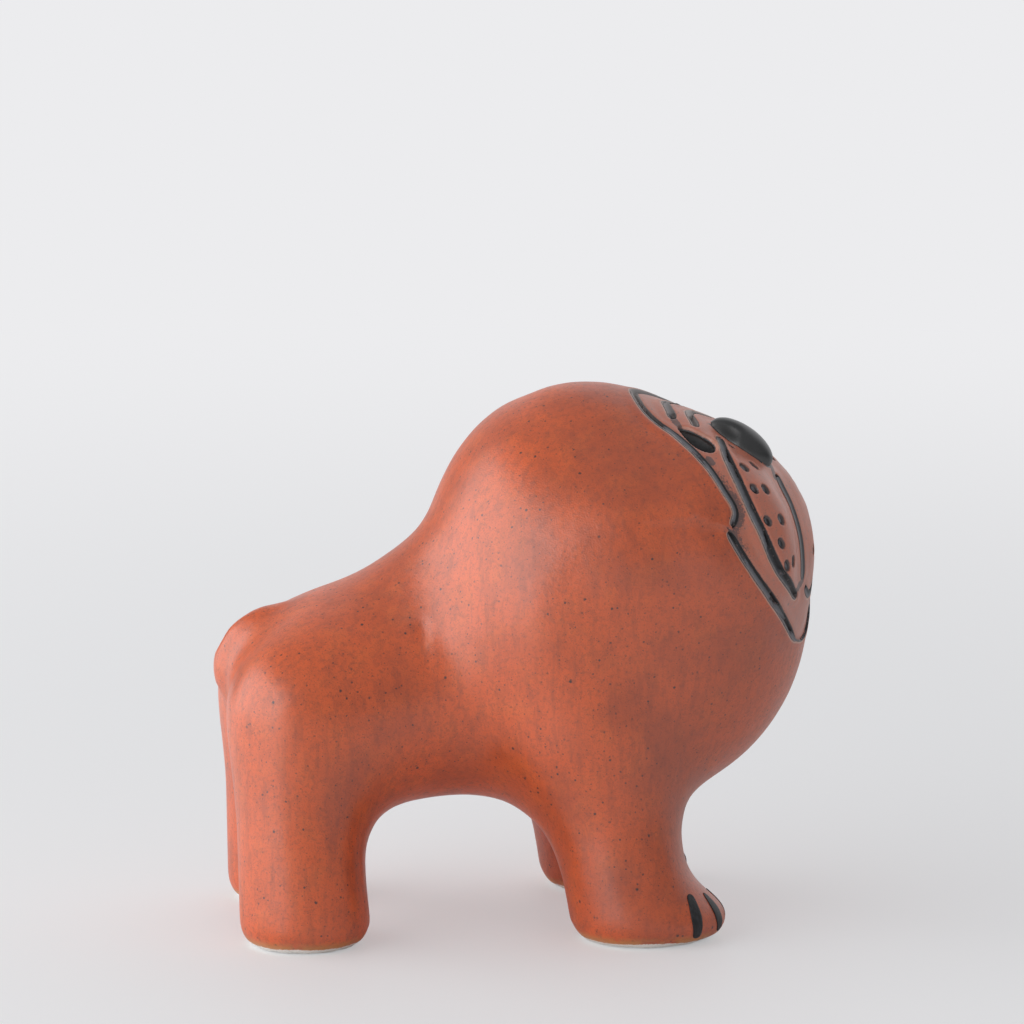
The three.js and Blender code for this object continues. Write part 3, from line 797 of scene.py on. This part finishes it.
# The paler slip colours are painted sheen on the outer side of a mark and a painted reflection of the sky
# high on the head.
WIPED_AND_SHEEN = paint(110, 110, 116)
PALE_DEEP = paint(122, 114, 112)
PALE_WIPED_AND_SHEEN = paint(160, 156, 156)
PALE_PIGMENT_SHEEN = paint(190, 168, 156)
SLIP_NOISE = (1.2, 4.0, 0.65)
SLIP_RAGGED = 0.35
WIPED_SHEEN_EDGE = (0.25, 0.75)
SHEEN_EDGE = (0.75, 1.1)
SLIP_GLOSS = 0.42
SLIP_DULLNESS = 0.15
TOOTH_STRENGTH = 0.3
TOOTH_DEPTH = 0.05 * MM


def film(name, piece_name, finish):
    """A mark's sheet laid over the cut skin as a thin coat of colour."""
    shape = sheets[name]
    for corner in shape.verts:
        place, _, _, _ = smooth_skin.find_nearest(corner.co)
        out = sum((normal for _, normal, _, _ in smooth_skin.find_nearest_range(place, EVEN_REACH)), Vector())
        sink, _ = cut(place)
        corner.co = place + out.normalized() * (FILM_LIFT - sink * MM)
    coat = laid_out(name + "_coat", shape)
    thick = coat.modifiers.new("thick", "SOLIDIFY")
    thick.thickness = FILM
    thick.offset = -1
    coat = laid_out(piece_name, smooth_shaded(finished_shape(coat)))
    coat.data.materials.append(finish)
    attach(coat, "root")
    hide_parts(name)


def pigment(name, deep, wiped_and_sheen_colour, sheen_colour):
    """Slip that is darkest on the inner side of a mark, as painted shade, and wiped thin and paler on its
    outer side and high up, as painted sheen.
    """
    slip = Finish(bpy.data.materials.new(name))
    place = slip.place()
    wash = slip.noise(place, *SLIP_NOISE)
    across = slip.attribute("across") + wash.sway(SLIP_RAGGED)
    colour = slip.blend(across.step(*WIPED_SHEEN_EDGE), deep, wiped_and_sheen_colour)
    colour = slip.blend(across.step(*SHEEN_EDGE) * SHEEN_SHARE, colour, sheen_colour)
    colour = slip.blend(slip.along(place, "Z").step(*SHEEN_HEIGHT) * SHEEN_SHARE, colour, sheen_colour)
    tooth = slip.add("ShaderNodeBump", {}, {"Strength": TOOTH_STRENGTH, "Distance": TOOTH_DEPTH,
                                            "Height": wash})
    gloss = SLIP_GLOSS + wash * SLIP_DULLNESS
    shader = slip.add("ShaderNodeBsdfPrincipled", {}, {"Base Color": colour, "Roughness": gloss,
                                                       "Normal": tooth})
    return slip.close("ShaderNodeOutputMaterial", shader)


slip_material = pigment("blue_black_pigment", DEEP, WIPED_AND_SHEEN, PALE_SHEEN)
pale_material = pigment("pale_pigment", PALE_DEEP, PALE_WIPED_AND_SHEEN, PALE_PIGMENT_SHEEN)
for name in LINES + PITS:
    finish = pale_material if name == "bridge_line" else slip_material
    film(name, name + "_film", finish)

# Toe strokes
# Three brush strokes down the front of each fore paw, of the same slip, laid on top of the glaze.
# The slip is thick and nearly black here, with faint streaks where the bristles ran.

TOE_BLACK = paint(30, 29, 31)
TOE_STREAK = paint(50, 50, 54)
BRISTLES = (0.5, 3.0, 0.5)
BRISTLE_EDGE = (0.4, 0.7)
TOE_GLOSS = 0.4
TOE_DULLNESS = 0.15
brushed = Finish(bpy.data.materials.new("toe_pigment"))
drawn_down = brushed.add("ShaderNodeMapping", {}, {"Vector": brushed.place(), "Scale": DRAWN_DOWN})
bristle = brushed.noise(drawn_down, *BRISTLES)
colour = brushed.blend(bristle.step(*BRISTLE_EDGE), TOE_BLACK, TOE_STREAK)
gloss = TOE_GLOSS + bristle * TOE_DULLNESS
shader = brushed.add("ShaderNodeBsdfPrincipled", {}, {"Base Color": colour, "Roughness": gloss})
toe_material = brushed.close("ShaderNodeOutputMaterial", shader)
for name in TOES:
    film(name, name + "_film", toe_material)

# Eyes
# Matt black pigment, filled into the almond-shaped seats with a loaded brush.
# It lies below the lids and rises a little in the middle, over the dome of the seat.

EYE_BLACK = paint(14, 14, 15)
EYE_FLECK = paint(34, 33, 36)
EYE_FLECKS = (0.6, 3.0, 0.5)
EYE_FLECK_EDGE = (0.5, 0.8)
EYE_GLOSS = 0.5
filled = Finish(bpy.data.materials.new("eye_pigment"))
fleck = filled.noise(filled.place(), *EYE_FLECKS)
colour = filled.blend(fleck.step(*EYE_FLECK_EDGE), EYE_BLACK, EYE_FLECK)
shader = filled.add("ShaderNodeBsdfPrincipled", {}, {"Base Color": colour, "Roughness": EYE_GLOSS})
eye_material = filled.close("ShaderNodeOutputMaterial", shader)
for name in EYES:
    film(name, name + "_pool", eye_material)

# Nose
# A pad of clay pressed on above the lips and sponged round, with two nostrils poked into it.
# It is under a black satin glaze, a little glossier than the red one, dull down in the nostrils and darkened
# there with painted shade.

NOSE_STEP = 0.3 * MM
NOSE_SPONGING = 58
NOSE_GLAZE = 0.35 * MM
# The left nostril: a short slot, from its rear end to its front end, and how far its shade reaches.
NOSTRIL = [(35.2, 2.4, 100.6), (38.6, 2.9, 99.0)]
NOSTRIL_CORE = 0.5
NOSTRIL_REACH = 2.0
shape = wrapped("nose_clay", merged("nose_pad"), NOSE_STEP)
relax(shape, shape.verts, NOSE_SPONGING)
shape.normal_update()
swell(shape, NOSE_GLAZE)
nostril_shade = shape.verts.layers.float.new("nostril")
slots = both_sides(NOSTRIL)
for corner in shape.verts:
    reach = min(away_from(corner.co, slot) for slot in slots)
    corner[nostril_shade] = 1 - ease(NOSTRIL_CORE, NOSTRIL_REACH, reach)
nose = laid_out("nose", smooth_shaded(shape))
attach(nose, "root")
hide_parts("nose_pad")

NOSE_BLACK = paint(16, 16, 17)
NOSE_BLOOM = paint(36, 36, 39)
NOSTRIL_SHADE_BLACK = paint(8, 8, 9)
BLOOM = (3, 3.0, 0.5)
BLOOM_EDGE = (0.4, 0.75)
BLOOM_SHARE = 0.6
NOSE_FLECKS = (0.5, 2.0, 0.5)
NOSE_FLECK_EDGE = (0.55, 0.8)
NOSE_FLECK_SHARE = 0.3
NOSE_GLOSS = 0.24
BLOOM_DULLNESS = 0.1
NOSTRIL_DULLNESS = 0.4
NOSE_IOR = 1.9
PORE_STRENGTH = 0.2
PORE_DEPTH = 0.04 * MM
black = Finish(bpy.data.materials.new("black_glaze"))
place = black.place()
nostril = black.attribute("nostril")
bloom = black.noise(place, *BLOOM)
fleck = black.noise(place, *NOSE_FLECKS)
pale_share = bloom.step(*BLOOM_EDGE) * BLOOM_SHARE + fleck.step(*NOSE_FLECK_EDGE) * NOSE_FLECK_SHARE
colour = black.blend(pale_share, NOSE_BLACK, NOSE_BLOOM)
# The nostrils are darkened with painted shade.
colour = black.blend(nostril, colour, NOSTRIL_SHADE_BLACK)
gloss = NOSE_GLOSS + bloom * BLOOM_DULLNESS + nostril * NOSTRIL_DULLNESS
pores = black.add("ShaderNodeBump", {}, {"Strength": PORE_STRENGTH, "Distance": PORE_DEPTH, "Height": fleck})
shader = black.add("ShaderNodeBsdfPrincipled", {}, {"Base Color": colour, "Roughness": gloss, "Normal": pores,
                                                    "IOR": NOSE_IOR})
nose.data.materials.append(black.close("ShaderNodeOutputMaterial", shader))

# Floor, light and camera
# A wide pale table that runs out into a pale room, which a large window on the dog's tail side lights.
# The room is brighter overhead and towards the dog's right side, and pale ahead on its left.
# On the dog's tail side the table glows for mirrored rays alone, a painted reflection that adds sheen to the
# glaze. Lengths are in metres.

FLOOR_REACH = 12.0
FLOOR_SIDES = 64
FADE_START = 0.12
FADE_END = 1.2
ROOM_WHITE = paint(236, 236, 238)
TABLE_WHITE = paint(239, 240, 241)
TABLE_GLOSS = 0.6
NEAR_WHITE = paint(253, 253, 255)
NEAR_SHARE = 0.36
PAINTED_GLEAM_START = -0.03
PAINTED_GLEAM_FULL = -0.2
PAINTED_GLEAM_SHARE = 0.4
PAINTED_GLEAM_STRENGTH = 1.7
floor_shape = bmesh.new()
bmesh.ops.create_circle(floor_shape, cap_ends=True, radius=FLOOR_REACH, segments=FLOOR_SIDES)
floor = laid_out("floor", floor_shape)


def seen(finish, ray):
    """1 for rays of one kind, 0 for all others."""
    return finish.add("ShaderNodeLightPath", {}, {}, ray)


table = Finish(bpy.data.materials.new("pale_table"))
place = table.place()
top = table.add("ShaderNodeBsdfPrincipled", {}, {"Base Color": TABLE_WHITE, "Roughness": TABLE_GLOSS})
away = table.add("ShaderNodeVectorMath", {"operation": "LENGTH"}, {0: place}, "Value")
fade = away.step(FADE_START, FADE_END)
haze = table.add("ShaderNodeEmission", {}, {"Color": table.blend(fade, NEAR_WHITE, ROOM_WHITE)})
haze_share = (NEAR_SHARE + fade * (1 - NEAR_SHARE)) * seen(table, "Is Camera Ray")
shader = table.add("ShaderNodeMixShader", {}, {0: haze_share, 1: top, 2: haze})
# A painted reflection: from 3 cm behind the middle, and in full from 20 cm behind it, the table glows for
# mirrored rays alone.
ahead = table.add("ShaderNodeSeparateXYZ", {}, {"Vector": place}, "X")
painted_gleam = table.add("ShaderNodeEmission", {}, {"Strength": PAINTED_GLEAM_STRENGTH})
painted_gleam_share = (1 - ahead.step(PAINTED_GLEAM_FULL, PAINTED_GLEAM_START)) * PAINTED_GLEAM_SHARE * seen(table, "Is Glossy Ray")
shader = table.add("ShaderNodeMixShader", {}, {0: painted_gleam_share, 1: shader, 2: painted_gleam})
floor.data.materials.append(table.close("ShaderNodeOutputMaterial", shader))

WINDOW_PLACE = Vector((-0.792, -0.111, 0.46))
WINDOW_AIM = Vector((0, 0, 0.46))
WINDOW_WIDTH = 1.95
WINDOW_HEIGHT = 0.9
WINDOW_POWER = 9.3
lamp = bpy.data.lights.new("window_light", "AREA")
lamp.shape = "RECTANGLE"
lamp.size = WINDOW_WIDTH
lamp.size_y = WINDOW_HEIGHT
lamp.energy = WINDOW_POWER
window = bpy.data.objects.new("window_light", lamp)
window.location = WINDOW_PLACE
window.rotation_euler = (WINDOW_AIM - WINDOW_PLACE).to_track_quat("-Z", "Y").to_euler()
window.visible_camera = False
bpy.context.scene.collection.objects.link(window)

ROOM_TINT = (0.97, 0.98, 1.0, 1.0)
DIM_STRENGTH = 0.09
LIT_STRENGTH = 0.38
LIT_SIDE = (-0.3, -0.5, 0.8)
LIT_EDGE = (-0.9, 0.9)
PALE_SIDE = (0.5, 0.8, 0.3)
PALE_EDGE = (0.38, 0.95)
room = Finish(bpy.data.worlds.new("pale_room"))
bpy.context.scene.world = room.owner
direction = room.add("ShaderNodeTexCoord", {}, {}, "Generated")
dot = {"operation": "DOT_PRODUCT"}
to_lit = room.add("ShaderNodeVectorMath", dot, {0: direction, 1: LIT_SIDE}, "Value")
to_pale = room.add("ShaderNodeVectorMath", dot, {0: direction, 1: PALE_SIDE}, "Value")
dim = room.add("ShaderNodeBackground", {}, {"Color": ROOM_TINT, "Strength": DIM_STRENGTH})
lit = room.add("ShaderNodeBackground", {}, {"Color": ROOM_TINT, "Strength": LIT_STRENGTH})
backdrop = room.add("ShaderNodeBackground", {}, {"Color": ROOM_WHITE})
shader = room.add("ShaderNodeMixShader", {}, {0: to_lit.step(*LIT_EDGE), 1: dim, 2: lit})
shader = room.add("ShaderNodeMixShader", {}, {0: to_pale.step(*PALE_EDGE), 1: shader, 2: backdrop})
shader = room.add("ShaderNodeMixShader", {}, {0: seen(room, "Is Camera Ray"), 1: shader, 2: backdrop})
room.close("ShaderNodeOutputWorld", shader)
bpy.context.scene.view_settings.view_transform = "Standard"

VIEW_AZIMUTH = math.radians(-7)
VIEW_HEIGHT = math.radians(8.2)
VIEW_DISTANCE = 850 * MM
VIEW_TARGET = Vector((0.25, 0, 82)) * MM
SENSOR_WIDTH = 36
FOCAL_LENGTH = 149.4
lens = bpy.data.cameras.new("photo_view")
lens.sensor_width = SENSOR_WIDTH
lens.lens = FOCAL_LENGTH
camera = bpy.data.objects.new("photo_view", lens)
level = math.cos(VIEW_HEIGHT)
back = Vector((math.sin(VIEW_AZIMUTH) * level, -math.cos(VIEW_AZIMUTH) * level, math.sin(VIEW_HEIGHT)))
camera.location = VIEW_TARGET + back * VIEW_DISTANCE
camera.rotation_euler = (-back).to_track_quat("-Z", "Y").to_euler()
bpy.context.scene.collection.objects.link(camera)
bpy.context.scene.camera = camera
